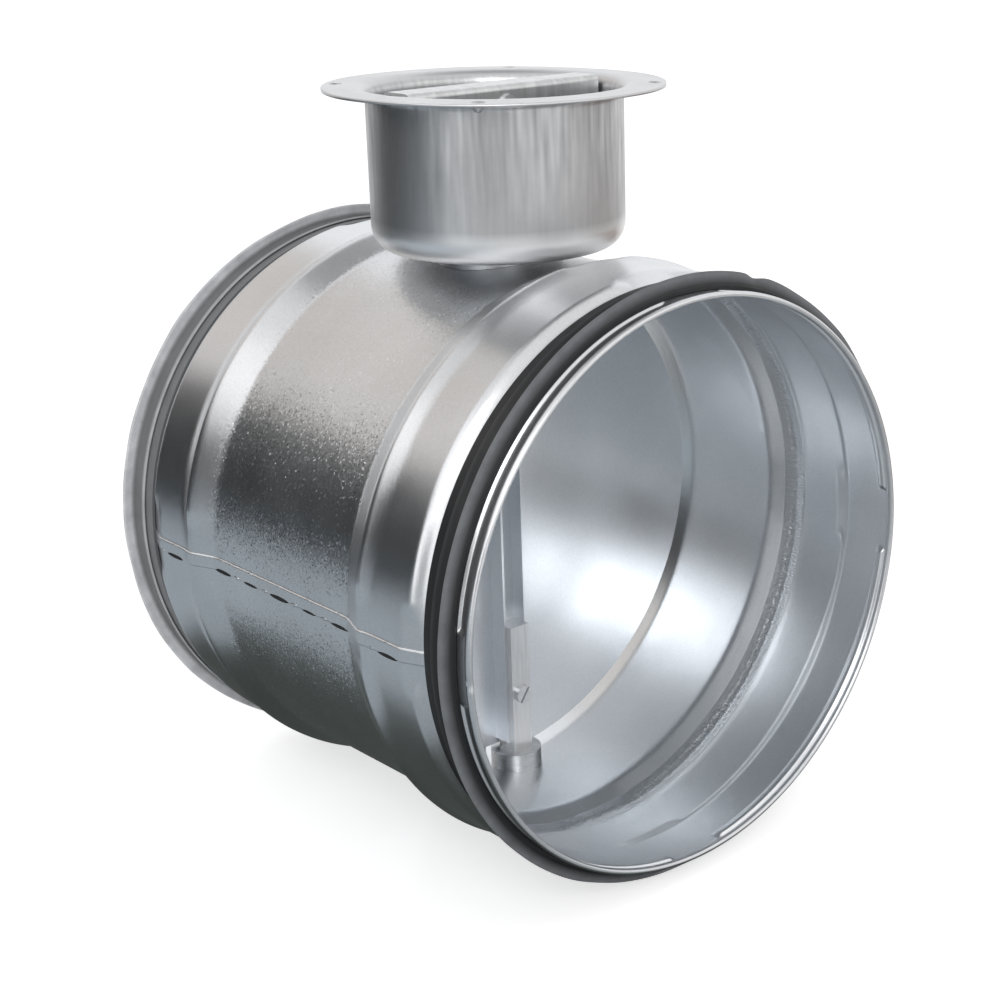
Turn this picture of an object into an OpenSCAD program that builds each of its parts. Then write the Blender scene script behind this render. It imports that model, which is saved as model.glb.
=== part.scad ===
// Round volume control damper for ventilation duct. A sheet casing with two gasketed
// spigots holds a disc blade on a vertical shaft. The shaft is turned by a bar handle
// that sits inside a deep cup, so that duct insulation can be laid round the cup.
// The duct runs along Y and the shaft along Z. Their axes cross at the origin.
// The blade is drawn shut, across the duct, as it stands at rest.

/* [Casing] */
// Outside diameter of the plain middle of the casing
casing_d = 159.6; // [80:0.2:400]
// Thickness of the casing sheet
casing_t = 0.6; // [0.4:0.1:1.5]
// Length of the casing from rim to rim
casing_len = 162; // [100:1:400]
// Depth of the spigots' sheet below the plain casing
spigot_drop = 0.2; // [0:0.1:3]
// Length of a spigot from its rim to the foot of the stop slope
spigot_len = 17.7; // [12:0.1:60]
// Height of the two stop bands above the plain casing
band_rise = 2.7; // [1:0.1:10]
// Width of the slope from a stop band down to its spigot
slope_w = 2.2; // [0.5:0.1:8]
// Distance between the crests of the two beads
bead_span = 85; // [40:0.5:300]
// Height of a bead above its stop band
bead_h = 0.8; // [0.1:0.1:3]
// Width of the step from the plain casing up to a bead's crest
step_w = 3.4; // [1:0.1:10]
// Width of the fall from a bead's crest to its stop band
fall_w = 2.6; // [0.5:0.1:10]
// Height of a folded rim above its spigot
rim_rise = 0.3; // [0:0.05:2]
// Width of a folded rim along the duct
rim_w = 2.2; // [1:0.1:6]
// Thickness of a folded rim
rim_t = 1.7; // [0.8:0.1:5]
// Distance from a rim's end to the middle of the pressed groove
groove_at = 3.8; // [2:0.1:12]
// Width of the pressed groove
groove_w = 2.4; // [0.5:0.1:6]
// Depth of the pressed groove
groove_h = 0.8; // [0.2:0.1:3]
// Angle of each plain stretch between two lengths of groove
plain_angle = 14; // [4:1:40]
// Width of the ramp that takes the slope's place at each plain stretch
ramp_w = 7; // [3:0.5:20]
// Width of the lap seam round the casing
seam_w = 4.2; // [3:0.1:20]
// Height of the lap seam above the casing
seam_h = 0.5; // [0.2:0.1:2]
// Direction of the lap seam, from +X towards +Z
seam_angle = -176; // [-180:1:180]

/* [Gaskets] */
// Distance from the rim's end to the gasket, which lies behind the pressed groove
gasket_at = 5; // [2.5:0.1:20]
// Length of a gasket along the spigot
gasket_len = 11.6; // [11:0.1:40]
// Thickness of the gasket's band
gasket_t = 1.1; // [0.5:0.1:4]
// Thickness of a sealing lip
lip_t = 1; // [0.4:0.1:3]
// Height of the first lip's tip above the spigot
lip_h = 5; // [2:0.1:15]
// Height of the second lip's tip above the spigot
back_lip_h = 2; // [2:0.1:15]
// Distance from the rim's end to the first lip's root
lip_root = 5.1; // [5:0.1:20]
// Distance from the rim's end to the first lip's tip
lip_tip = 6.9; // [6:0.1:30]
// Distance from the rim's end to the second lip's root
back_lip_root = 10.4; // [3:0.1:30]
// Distance from the rim's end to the second lip's tip
back_lip_tip = 13.4; // [12.5:0.1:40]

/* [Insulation cup] */
// Outside diameter of the cup's wall
cup_d = 71.2; // [40:0.2:200]
// Thickness of the cup's sheet
cup_t = 0.8; // [0.5:0.1:2]
// Height of the cup from its floor to the top of its flange
cup_h = 44.6; // [20:0.2:150]
// Gap between the crest of the casing and the cup's floor
cup_stand = 2.4; // [1:0.1:10]
// Width of the cup's flange beyond the wall
flange_w = 11.6; // [5:0.1:40]
// Radius of the bend from wall to flange
flange_bend = 3; // [1:0.1:10]
// Width of the rounded corner at the floor
corner_w = 5.6; // [1:0.1:15]
// Height of the rounded corner at the floor
corner_h = 7; // [1:0.1:15]
// Distance from the flange's edge to the middle of a pip
pip_in = 3.2; // [1:0.1:10]
// Diameter of a pip
pip_d = 3.4; // [1:0.1:8]
// Depth of a pip below the flange's top
pip_h = 2.4; // [1:0.1:6]
// Width of the saddle round the upper bush
saddle_w = 11; // [8:0.5:40]

/* [Blade] */
// Gap between the blade's edge and the casing's bore
blade_gap = 2.7; // [0.5:0.1:10]
// Thickness of the blade's sheet
blade_t = 0.8; // [0.5:0.1:3]
// Clearance between the blade's notches and the bushes
notch_gap = 0.8; // [0.3:0.1:3]
// Thickness of the stiffening channel's sheet
channel_t = 0.7; // [0.4:0.1:2]
// Height of the stiffening channel's walls above the blade
channel_h = 5.6; // [2:0.1:15]
// Distance from the lower collar's face to the channel's end
channel_gap = 2.6; // [0.5:0.1:10]

/* [Shaft] */
// Side of the square part of both half shafts
shaft_a = 7; // [4:0.1:20]
// Diameter of the upper journal
top_journal_d = 7; // [4:0.1:20]
// Diameter of the lower journal
low_journal_d = 6; // [4:0.1:20]
// Length of the lower half shaft inside the duct
shaft_hold = 40.6; // [20:0.1:150]
// Side of the square drive as a share of the upper journal's diameter
drive_share = 0.7; // [0.4:0.01:0.7]
// Distance from the handle bar's lower edge down to the drive's end
drive_gap = 0.6; // [0.2:0.1:5]
// Radial clearance of a journal in its bush
running_gap = 0.05; // [0.01:0.01:0.1]
// Clearance between pieces that are pushed together and don't turn
seat_gap = 0.03; // [0.01:0.01:0.2]
// Diameter of the shaft screws
screw_d = 3; // [2:0.1:8]
// Distance from the lower collar's face to the lower shaft screw
screw_in = 18.6; // [8:0.1:80]
// Diameter of a shaft screw's head
screw_head_d = 5.5; // [3:0.1:14]
// Height of a shaft screw's head
screw_head_h = 1.6; // [0.5:0.1:5]
// Width of the slot in a shaft screw's head
screw_slot_w = 0.8; // [0.3:0.1:3]
// Width across the flats of a shaft screw's nut
screw_nut_a = 5.5; // [3:0.1:14]
// Height of a shaft screw's nut
screw_nut_h = 2.4; // [1:0.1:8]

/* [Bushes] */
// Diameter of a bush's body where it passes through the casing
bush_d = 14; // [8:0.1:40]
// Width of the upper bush's collar round its body
top_collar_w = 3; // [1:0.1:10]
// Width of the lower bush's collar round its body
low_collar_w = 0.7; // [0.4:0.1:10]
// Height of the upper bush's collar inside the casing
top_collar_h = 4.6; // [2:0.1:15]
// Height of the lower bush's collar inside the casing
low_collar_h = 5.6; // [2:0.1:15]
// Height of the upper bush above the cup's floor
bush_rise = 3; // [1:0.1:10]
// Depth of the lower bush below the casing
bush_drop = 1.9; // [1:0.1:10]
// Width of the snap lip round the lower bush
snap_w = 0.5; // [0.2:0.1:2]
// Depth left between the lower journal's end and the bush's floor
end_gap = 0.4; // [0.1:0.1:3]
// Thickness of the lower bush's floor
bush_floor = 1.4; // [0.5:0.1:5]
// Thickness of the push-on ring that holds the upper bush
ring_t = 1; // [0.5:0.1:3]
// Width of the push-on ring
ring_w = 2.5; // [1:0.1:10]
// Thickness of the shaft seal's cord
seal_cord = 1.8; // [1:0.1:5]

/* [Lock] */
// Gap between the slotted quadrant plate and the cup's wall
quadrant_gap = 4.8; // [1:0.1:20]
// Thickness of the quadrant plate
quadrant_t = 1.2; // [0.8:0.1:4]
// Height of the quadrant plate above the cup's floor
quadrant_rise = 4.2; // [2:0.1:15]
// Gap between the upper bush and the hole in the quadrant plate
quadrant_hole_gap = 1; // [0.3:0.1:5]
// Distance from the quadrant plate's edge to the middle of the locking bolt
lock_in = 6; // [4:0.5:30]
// Angle through which the blade turns from shut to open
travel_angle = 90; // [30:1:120]
// Direction of the locking bolt from the shaft when the blade is shut
lock_angle = -90; // [-180:5:180]
// Diameter of the locking bolt
lock_d = 5; // [3:0.1:12]
// Clearance of the locking bolt in its slot
slot_gap = 0.15; // [0.05:0.05:1]
// Diameter of the locking bolt's head
lock_head_d = 8.6; // [5:0.1:24]
// Height of the locking bolt's head
lock_head_h = 2.2; // [1:0.1:8]
// Length of the locking bolt above the quadrant plate
lock_len = 11; // [6:0.5:40]
// Outside diameter of the washer under the arm
washer_d = 10; // [6:0.2:30]
// Thickness of the washer under the arm
washer_t = 1.8; // [0.5:0.1:5]
// Width of the locking arm
arm_w = 10; // [6:0.2:30]
// Thickness of the locking arm
arm_t = 2; // [1:0.1:6]
// Width across the flats of the locking nut
lock_nut_a = 8; // [5:0.1:22]
// Height of the locking nut
lock_nut_h = 4; // [2:0.1:12]
// Distance from the upper bush's side to the middle of a cup rivet
rivet_out = 6.5; // [4:0.1:25]
// Diameter of a cup rivet
rivet_d = 3.2; // [2:0.1:8]
// Diameter of a cup rivet's head
rivet_head_d = 6.2; // [3:0.1:16]
// Height of a cup rivet's head
rivet_head_h = 1.2; // [0.5:0.1:4]
// Outside diameter of the spacer tubes round the rivets
spacer_d = 6.6; // [4:0.1:16]

/* [Handle] */
// Gap between the ends of the handle bar and the cup's wall
bar_gap = 1.3; // [0.5:0.1:10]
// Width of the handle bar
bar_w = 11; // [6:0.2:40]
// Depth of the handle bar
bar_h = 14; // [6:0.5:60]
// Thickness of the handle bar's sheet
bar_t = 0.8; // [0.5:0.1:3]
// Radius of the handle bar's top edges
bar_bend = 1.6; // [1:0.1:8]
// Diameter of the pin through the post and the shaft
pin_d = 2.5; // [1.5:0.1:6]
// Height of the pin above the locking arm
pin_z = 9; // [4:0.5:40]
// Diameter of the bar's two rivets
bar_rivet_d = 3; // [1.5:0.1:8]
// Diameter of a bar rivet's head
bar_rivet_head_d = 4.8; // [3:0.1:14]
// Height of a bar rivet's head
bar_rivet_head_h = 0.9; // [0.3:0.1:4]
// Distance from the bar's lower edge to the first bar rivet
bar_rivet_z = 3.4; // [2:0.1:20]
// Distance between the two bar rivets
bar_rivet_pitch = 5.6; // [3:0.1:30]

/* [View] */
// Node to build, or all

/* [Hidden] */
$fn = 96;

// Casing
casing_r = casing_d / 2;
casing_in_r = casing_r - casing_t;
spigot_r = casing_r - spigot_drop;
band_r = casing_r + band_rise;
bead_r = band_r + bead_h;
bead_y = bead_span / 2;
end_y = casing_len / 2;
slope_y = end_y - spigot_len;
ramp_y = slope_y - ramp_w;
ramp_end_y = slope_y + casing_t;
rim_r = spigot_r + rim_rise - rim_t / 2;
rim_end_r = rim_t / 2;
curve_steps = 8;
seam_turn = seam_w / casing_r * 180 / PI;
mid_sheet = casing_t / 2;
fold_angle = casing_t / casing_r * 360 / PI;

// Gaskets
gasket_in_r = spigot_r + seat_gap;
gasket_out_r = gasket_in_r + gasket_t;
lip_r = spigot_r + lip_h;
back_lip_r = spigot_r + back_lip_h;
lip_edge = lip_t / 2;
lip_foot = lip_t * 3 / 2;

// Cup, stacked up from the casing's crest
floor_z = casing_r + cup_stand;
floor_top_z = floor_z + cup_t;
flange_z = floor_z + cup_h;
cup_r = cup_d / 2;
cup_in_r = cup_r - cup_t;
flange_r = cup_r + flange_w;
pip_at = flange_r - pip_in;
bush_r = bush_d / 2;
saddle_r = bush_r + saddle_w;
hole_r = bush_r + seat_gap;
pip_wall = cup_t / 2;
rivet_at = bush_r + rivet_out;
rivet_foot_z = casing_in_r - rivet_head_h * 2;

// Bushes and shaft
top_collar_r = bush_r + top_collar_w;
low_collar_r = bush_r + low_collar_w;
top_collar_z = casing_in_r - top_collar_h;
low_collar_z = casing_in_r - low_collar_h;
shaft_start = low_collar_z - shaft_hold;
screw_z = low_collar_z - screw_in;
journal_r = top_journal_d / 2;
drive_a = top_journal_d * drive_share;
bore_r = journal_r + running_gap;
bush_top_z = floor_top_z + bush_rise;
quadrant_z = floor_top_z + quadrant_rise;
quadrant_top_z = quadrant_z + quadrant_t;
arm_z = quadrant_top_z + washer_t;
arm_top_z = arm_z + arm_t;
bar_z = flange_z - bar_h;
drive_top_z = bar_z - drive_gap;
quadrant_r = cup_in_r - quadrant_gap;
lock_r = quadrant_r - lock_in;
seal_room_r = journal_r + running_gap + seal_cord + seat_gap;
snap_r = bush_r + snap_w;
bush_low_z = casing_r + bush_drop;
journal_end_z = bush_low_z - bush_floor - end_gap;

// Blade: its channel and sheet lie against the back of the shaft
channel_y = shaft_a / 2;
channel_in_w = shaft_a + seat_gap * 2;
channel_w = channel_in_w + channel_t * 2;
channel_end_z = low_collar_z - channel_gap;
blade_r = casing_in_r - blade_gap;
blade_y = channel_y + channel_t;
blade_back_y = blade_y + blade_t;

// Handle
bar_len = (cup_in_r - bar_gap) * 2;
bar_in_w = bar_w - bar_t * 2;
post_a = bar_in_w - seat_gap * 2;
lap = casing_t;

// A run of profile points that leaves and arrives level, as pressed sheet does
function ease(y0, y1, r0, r1) = [for (i = [0:curve_steps]) let (t = i / curve_steps)
    [r0 + (r1 - r0) * (1 - cos(180 * t)) / 2, y0 + (y1 - y0) * t]];

// Points along a quarter ellipse from angle a0 to angle a1
function bend(cx, cy, rx, ry, a0, a1) = [for (i = [0:curve_steps])
    let (a = a0 + (a1 - a0) * i / curve_steps) [cx + rx * cos(a), cy + ry * sin(a)]];

// The same points with their order turned round
function reversed(p) = [for (i = [1:len(p)]) p[len(p) - i]];

// Outside of half the casing, from its plain middle to the slope's foot, set in by a depth
function half_line(depth) = concat(
    ease(bead_y - step_w, bead_y, casing_r - depth, bead_r - depth),
    ease(bead_y + fall_w / curve_steps, bead_y + fall_w, bead_r - depth, band_r - depth),
    ease(slope_y - slope_w, slope_y, band_r - depth, spigot_r - depth));

// The same line from end to end
function full_line(depth, end) = let (line = concat(half_line(depth), end))
    concat([for (p = reversed(line)) [p[0], -p[1]]], line);

// Things drawn with the duct as their axis
module along_duct(turn = 0) {
    rotate([90, 0, 0]) rotate([0, 0, turn]) children();
}

// The same thing at both ends of the duct
module both_ends() {
    children();
    mirror([0, 1, 0]) children();
}

// A disc or rod that lies along Y from y0 to y1
module rod_y(r, y0, y1) {
    translate([0, y1, 0]) rotate([90, 0, 0]) cylinder(r = r, h = y1 - y0);
}

// A block centred on the shaft's axis, from z0 up to z1
module post(a, z0, z1) {
    translate([-a / 2, -a / 2, z0]) cube([a, a, z1 - z0]);
}

// A hexagon with the given width across its flats
module hexagon(a, h) {
    cylinder(r = a / 2 / cos(30), h = h, $fn = 6);
}

// A round solid from z0 up to z1
module drum(r, z0, z1) {
    translate([0, 0, z0]) cylinder(r = r, h = z1 - z0);
}

// Four copies on the diagonals
module on_diagonals(r) {
    for (a = [45, 135, 225, 315]) rotate([0, 0, a]) translate([r, 0, 0]) children();
}

// Four arcs round the duct, each as wide as the angle and centred on a quarter turn from start
module four_arcs(start, angle) {
    for (i = [0:3]) along_duct(start + i * 90 - angle / 2) rotate_extrude(angle = angle) children();
}

module sheet_section() {
    polygon(concat(full_line(0, [[spigot_r, end_y - rim_end_r]]),
        reversed(full_line(casing_t, [[spigot_r - casing_t, end_y - rim_end_r]]))));
}

// The rim's edge is folded back on itself, which leaves it round on both sides
module rim_section() {
    polygon(concat(
        bend(rim_r, end_y - rim_end_r, rim_end_r, rim_end_r, 0, 180),
        bend(rim_r, end_y - rim_w + rim_end_r, rim_end_r, rim_end_r, 180, 360)));
}

module seam_section() {
    polygon(concat(full_line(mid_sheet, []), reversed(full_line(-seam_h, []))));
}

// At a plain stretch the slope is filled in from the band to the spigot, and then
// cleared down to one thickness of sheet, which leaves a wall at each end
module ramp_fill() {
    polygon([[band_r - mid_sheet, ramp_y], [band_r - mid_sheet, slope_y - slope_w],
        [spigot_r - mid_sheet, ramp_end_y]]);
}

module ramp_clear() {
    polygon([[band_r + mid_sheet, ramp_y], [bead_r + casing_t, ramp_y],
        [bead_r + casing_t, ramp_end_y], [spigot_r + mid_sheet, ramp_end_y]]);
}

module casing_tube() color("silver") difference() {
    union() {
        along_duct() rotate_extrude($fn = 128) sheet_section();
        both_ends() along_duct() rotate_extrude($fn = 128) rim_section();
        along_duct(seam_angle - seam_turn / 2)
            rotate_extrude(angle = seam_turn) seam_section();
        both_ends() four_arcs(45, 90 - plain_angle)
            translate([spigot_r - casing_t - groove_h, end_y - groove_at - groove_w / 2])
                square([groove_h + mid_sheet, groove_w]);
        both_ends() four_arcs(0, plain_angle) ramp_fill();
    }
    both_ends() four_arcs(45, 90 - plain_angle - fold_angle)
        translate([spigot_r - groove_h, end_y - groove_at - groove_w / 2 + mid_sheet])
            square([groove_h + casing_t, groove_w - casing_t]);
    both_ends() four_arcs(0, plain_angle - fold_angle) ramp_clear();
    drum(hole_r, -bush_low_z, bush_top_z);
    on_diagonals(rivet_at) drum(rivet_d / 2 + seat_gap, 0, floor_z);
}

module gasket() {
    along_duct() rotate_extrude($fn = 128) polygon([
        [gasket_in_r, end_y - gasket_at],
        [gasket_in_r, end_y - gasket_at - gasket_len],
        [gasket_out_r, end_y - gasket_at - gasket_len],
        [gasket_out_r, end_y - back_lip_root - lip_foot],
        [back_lip_r - lip_edge, end_y - back_lip_tip],
        [back_lip_r, end_y - back_lip_tip + lip_edge],
        [gasket_out_r, end_y - back_lip_root],
        [gasket_out_r, end_y - lip_root - lip_foot],
        [lip_r - lip_edge, end_y - lip_tip],
        [lip_r, end_y - lip_tip + lip_edge],
        [gasket_out_r, end_y - lip_root],
        [gasket_out_r, end_y - gasket_at]]);
}

module front_gasket() color("dimgray") gasket();

module rear_gasket() color("dimgray") mirror([0, 1, 0]) gasket();

// The wall, floor and flange of the cup as one line of sheet, set in by a depth
function cup_line(depth) = concat([[hole_r, floor_z + depth]],
    bend(cup_r - corner_w, floor_z + corner_h, corner_w - depth, corner_h - depth, -90, 0),
    bend(cup_r + flange_bend, flange_z - flange_bend - cup_t,
        flange_bend + depth, flange_bend + depth, 180, 90),
    [[flange_r, flange_z - cup_t + depth]]);

module insulation_cup() color("darkgray") difference() {
    union() {
        rotate_extrude() polygon(concat(cup_line(0), reversed(cup_line(cup_t))));
        on_diagonals(pip_at) drum(pip_d / 2, flange_z - pip_h, flange_z - pip_wall);
    }
    on_diagonals(pip_at)
        drum(pip_d / 2 - pip_wall, flange_z - pip_h + pip_wall, flange_z + pip_wall);
    on_diagonals(rivet_at)
        drum(rivet_d / 2 + seat_gap, floor_z - cup_t, floor_top_z + cup_t);
}

module cup_saddle() color("gray") difference() {
    drum(saddle_r, casing_r - cup_stand * 2, floor_z);
    along_duct() translate([0, 0, -saddle_r * 2])
        cylinder(r = casing_r + seat_gap, h = saddle_r * 4, $fn = 128);
    drum(hole_r, 0, floor_top_z);
    on_diagonals(rivet_at) drum(rivet_d / 2 + seat_gap, 0, floor_top_z);
}

// Keeps only what lies inside the casing's bore
module inside_casing() intersection() {
    children();
    rod_y(casing_in_r - seat_gap, -saddle_r * 2, saddle_r * 2);
}

module upper_bush() color("lightgray") difference() {
    union() {
        inside_casing() drum(top_collar_r, top_collar_z, casing_r);
        drum(bush_r, top_collar_z, bush_top_z);
    }
    drum(bore_r, top_collar_z - lap, bush_top_z + lap);
    drum(seal_room_r, bush_top_z - seal_cord, bush_top_z + lap);
}

module upper_bush_ring() color("gray") difference() {
    drum(bush_r + ring_w, floor_top_z, floor_top_z + ring_t);
    drum(hole_r, floor_top_z - lap, floor_top_z + ring_t + lap);
    for (i = [0:5]) rotate([0, 0, i * 60]) translate([hole_r, 0, floor_top_z + ring_t / 2])
        cube([ring_t * 2, ring_t / 2, ring_t * 2], center = true);
}

module shaft_seal() color("black") rotate_extrude()
    translate([bore_r + seal_cord / 2, bush_top_z - seal_cord / 2])
        circle(r = seal_cord / 2, $fn = 24);

module lower_bush() color("lightgray") difference() {
    union() {
        inside_casing() drum(low_collar_r, -casing_r, -low_collar_z);
        drum(bush_r, -bush_low_z, -low_collar_z);
        translate([0, 0, -bush_low_z])
            cylinder(r1 = bush_r, r2 = snap_r, h = bush_drop - seat_gap * 4);
    }
    drum(low_journal_d / 2 + running_gap, -bush_low_z + bush_floor, 0);
}

module quadrant_plate() color("silver") difference() {
    drum(quadrant_r, quadrant_z, quadrant_top_z);
    drum(bush_r + quadrant_hole_gap, quadrant_z - lap, quadrant_top_z + lap);
    translate([0, 0, quadrant_z - lap]) rotate([0, 0, lock_angle])
        rotate_extrude(angle = travel_angle)
            translate([lock_r - lock_d / 2 - slot_gap, 0])
                square([lock_d + slot_gap * 2, quadrant_t + lap * 2]);
    for (a = [0, travel_angle]) rotate([0, 0, lock_angle + a]) translate([lock_r, 0, 0])
        drum(lock_d / 2 + slot_gap, quadrant_z - lap, quadrant_top_z + lap);
    on_diagonals(rivet_at)
        drum(rivet_d / 2 + seat_gap, quadrant_z - lap, quadrant_top_z + lap);
}

module rivet_spacers() color("gray") on_diagonals(rivet_at) difference() {
    drum(spacer_d / 2, floor_top_z, quadrant_z);
    drum(rivet_d / 2 + seat_gap, floor_top_z - lap, quadrant_z + lap);
}

// The lower end of each rivet is spread against the inside of the casing
module cup_rivets() color("lightgray") {
    on_diagonals(rivet_at) {
        drum(rivet_head_d / 2, quadrant_top_z, quadrant_top_z + rivet_head_h);
        drum(rivet_d / 2, rivet_foot_z, quadrant_top_z + rivet_head_h / 2);
    }
    inside_casing() on_diagonals(rivet_at)
        drum(rivet_d * 3 / 4, rivet_foot_z, casing_r);
}

module blade_disc() color("lightsteelblue") difference() {
    rod_y(blade_r, blade_y, blade_back_y);
    translate([-top_collar_r - notch_gap, 0, top_collar_z - notch_gap])
        cube([(top_collar_r + notch_gap) * 2, blade_r, blade_r]);
    translate([-low_collar_r - notch_gap, 0, -low_collar_z + notch_gap - blade_r])
        cube([(low_collar_r + notch_gap) * 2, blade_r, blade_r]);
    screw_places() rod_y(screw_d / 2 + seat_gap, 0, blade_back_y + lap);
}

module screw_places() {
    for (s = [-1, 1]) translate([0, 0, s * screw_z]) children();
}

module blade_channel() color("lightgray") difference() {
    translate([-channel_w / 2, blade_y - channel_h, -channel_end_z])
        cube([channel_w, channel_h, channel_end_z * 2]);
    translate([-channel_in_w / 2, channel_y - channel_h * 2, -blade_r])
        cube([channel_in_w, channel_h * 2, blade_r * 2]);
    screw_places() rod_y(screw_d / 2 + seat_gap, 0, blade_back_y + lap);
}

module upper_half_shaft() color("gainsboro") difference() {
    union() {
        post(shaft_a, shaft_start, top_collar_z);
        drum(journal_r, shaft_start, arm_z);
        post(drive_a, shaft_start, drive_top_z);
    }
    screw_places() rod_y(screw_d / 2 + seat_gap, -shaft_a, shaft_a);
    translate([0, 0, arm_top_z + pin_z]) rod_y(pin_d / 2 + seat_gap, -shaft_a, shaft_a);
}

module lower_half_shaft() color("gainsboro") difference() {
    union() {
        post(shaft_a, -low_collar_z, -shaft_start);
        drum(low_journal_d / 2, -journal_end_z, -shaft_start);
    }
    screw_places() rod_y(screw_d / 2 + seat_gap, -shaft_a, shaft_a);
}

module shaft_screws() color("whitesmoke") screw_places() difference() {
    union() {
        rod_y(screw_head_d / 2, -shaft_a / 2 - screw_head_h, -shaft_a / 2);
        rod_y(screw_d / 2, -shaft_a / 2 - screw_head_h, blade_back_y + screw_nut_h);
    }
    translate([0, -shaft_a / 2 - screw_head_h, 0]) rotate([0, 35, 0])
        cube([screw_slot_w, screw_head_h, screw_head_d * 2], center = true);
}

module shaft_nuts() color("whitesmoke") screw_places() difference() {
    translate([0, blade_back_y + screw_nut_h, 0]) rotate([90, 0, 0])
        hexagon(screw_nut_a, screw_nut_h);
    rod_y(screw_d / 2 + seat_gap, 0, blade_back_y + screw_nut_h + lap);
}

// Things on the locking arm, at the place where the bolt stands
module at_lock() {
    rotate([0, 0, lock_angle]) translate([lock_r, 0, 0]) children();
}

module locking_arm() color("silver") difference() {
    union() {
        drum(arm_w * 3 / 5, arm_z, arm_top_z);
        at_lock() drum(arm_w / 2, arm_z, arm_top_z);
        rotate([0, 0, lock_angle]) translate([0, -arm_w / 2, arm_z])
            cube([lock_r, arm_w, arm_t]);
    }
    post(drive_a + seat_gap * 2, arm_z - lap, arm_top_z + lap);
    at_lock() drum(lock_d / 2 + seat_gap, arm_z - lap, arm_top_z + lap);
}

module locking_bolt() color("whitesmoke") at_lock() {
    drum(lock_head_d / 2, quadrant_z - lock_head_h, quadrant_z);
    drum(lock_d / 2, quadrant_z - lock_head_h / 2, quadrant_top_z + lock_len);
}

module lock_washer() color("gainsboro") at_lock() difference() {
    drum(washer_d / 2, quadrant_top_z, arm_z);
    drum(lock_d / 2 + seat_gap, quadrant_top_z - lap, arm_z + lap);
}

module lock_nut() color("whitesmoke") at_lock() difference() {
    translate([0, 0, arm_top_z]) hexagon(lock_nut_a, lock_nut_h);
    drum(lock_d / 2 + seat_gap, arm_top_z - lap, arm_top_z + lock_nut_h + lap);
}

module handle_post() color("gray") difference() {
    post(post_a, arm_top_z, flange_z - bar_t);
    post(drive_a + seat_gap * 2, arm_top_z - lap, drive_top_z + lap);
    translate([0, 0, arm_top_z + pin_z]) rod_y(pin_d / 2 + seat_gap, -post_a, post_a);
    bar_rivet_places() rod_y(bar_rivet_d / 2 + seat_gap, -post_a, post_a);
}

module post_pin() color("whitesmoke") translate([0, 0, arm_top_z + pin_z])
    rod_y(pin_d / 2, -post_a / 2, post_a / 2);

module bar_rivet_places() {
    for (i = [0, 1]) translate([0, 0, bar_z + bar_rivet_z + i * bar_rivet_pitch]) children();
}

// An inverted channel with rounded top edges and open ends
module handle_bar() color("darkgray") difference() {
    union() {
        translate([-bar_len / 2, -bar_w / 2, bar_z])
            cube([bar_len, bar_w, bar_h - bar_bend]);
        translate([-bar_len / 2, -bar_w / 2 + bar_bend, bar_z])
            cube([bar_len, bar_w - bar_bend * 2, bar_h]);
        for (s = [-1, 1]) translate([-bar_len / 2, s * (bar_w / 2 - bar_bend),
            flange_z - bar_bend]) rotate([0, 90, 0]) cylinder(r = bar_bend, h = bar_len);
    }
    translate([-bar_len, -bar_in_w / 2, bar_z - lap])
        cube([bar_len * 2, bar_in_w, bar_h - bar_t + lap]);
    bar_rivet_places() rod_y(bar_rivet_d / 2 + seat_gap, -bar_w, bar_w);
}

module bar_rivets() color("whitesmoke") bar_rivet_places() {
    rod_y(bar_rivet_d / 2, -bar_w / 2 - bar_rivet_head_h / 2, bar_w / 2 + bar_rivet_head_h / 2);
    rod_y(bar_rivet_head_d / 2, bar_w / 2, bar_w / 2 + bar_rivet_head_h);
    rod_y(bar_rivet_head_d / 2, -bar_w / 2 - bar_rivet_head_h, -bar_w / 2);
}

casing_tube();
front_gasket();
rear_gasket();
insulation_cup();
cup_saddle();
upper_bush();
upper_bush_ring();
shaft_seal();
lower_bush();
quadrant_plate();
rivet_spacers();
cup_rivets();
blade_disc();
blade_channel();
upper_half_shaft();
lower_half_shaft();
shaft_screws();
shaft_nuts();
locking_arm();
locking_bolt();
lock_washer();
lock_nut();
handle_post();
post_pin();
handle_bar();
bar_rivets();
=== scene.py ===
# %% [markdown]
# # A round volume control damper, dressed for its photograph
#
# The solid parts arrive as a frame: two bodies, a fixed casing and a turning blade. This lesson
# gives each of them the surface that zinc-coated sheet, rubber and plated steel have, and
# replaces the pressed-sheet parts by finer skins that show rolling waves, draw marks and seams.

import math

import bpy
import numpy as np
from mathutils import Matrix, Vector


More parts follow.
